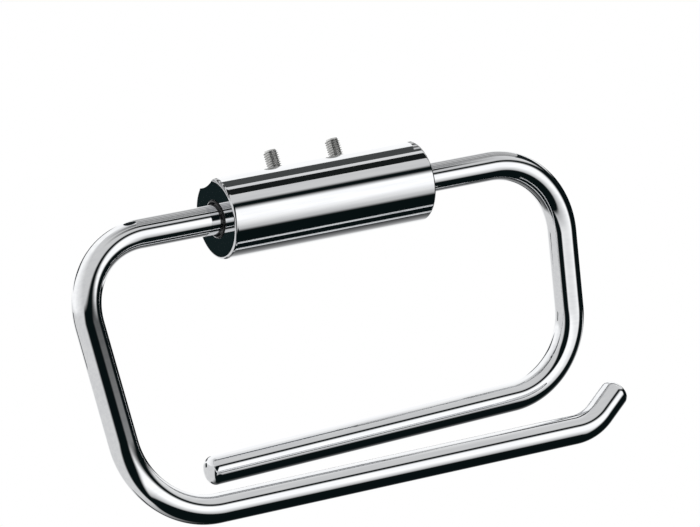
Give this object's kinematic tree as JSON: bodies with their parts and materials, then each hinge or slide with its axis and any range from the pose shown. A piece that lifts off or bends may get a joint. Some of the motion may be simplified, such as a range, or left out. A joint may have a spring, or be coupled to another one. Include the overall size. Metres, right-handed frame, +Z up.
{
  "type": "toilet roll holder",
  "caption": "Chromed toilet roll holder for under a round rail: a round housing with a swinging roll arm and a shorter swinging brake arm.",
  "frame": {"origin": "middle of the seat on top of the housing, on the lowest line of the rail and between the two carrier screws", "axes": "+X along the rail and the pivot axis, from the roll arm's leg to the brake arm's leg; +Y to the rear, towards the wall; +Z up, towards the rail"},
  "size_m": [0.2, 0.0494, 0.1195],
  "materials": {
    "polished_chrome": "mirror polished",
    "carrier_steel": "turned and milled",
    "stainless_screws": "satin",
    "spring_steel": "satin, dark",
    "black_acetal": "smooth moulded",
    "bronze": "satin"
  },
  "bodies": {
    "housing": {"housing_sleeve": "polished_chrome", "rail_carrier": "carrier_steel", "carrier_screws": "stainless_screws", "lock_washers": "spring_steel", "left_end_plug": "polished_chrome", "right_end_plug": "polished_chrome", "left_bearing_bush": "black_acetal", "right_bearing_bush": "black_acetal", "left_thrust_washer": "bronze", "right_thrust_washer": "bronze", "left_spring_washer": "spring_steel", "right_spring_washer": "spring_steel", "grub_screws": "stainless_screws"},
    "roll_arm": {"roll_arm": "polished_chrome", "left_retaining_ring": "spring_steel"},
    "brake_arm": {"brake_arm": "polished_chrome", "right_retaining_ring": "spring_steel"}
  },
  "joints": [
    {"name": "roll_arm_swing", "type": "hinge", "parent": "housing", "child": "roll_arm", "pos_m": [0, 0, -0.0115], "axis": [1, 0, 0], "range_deg": [-125, 125]},
    {"name": "brake_arm_swing", "type": "hinge", "parent": "housing", "child": "brake_arm", "pos_m": [0, 0, -0.0115], "axis": [1, 0, 0], "range_deg": [-146.5, 103.5]}
  ]
}
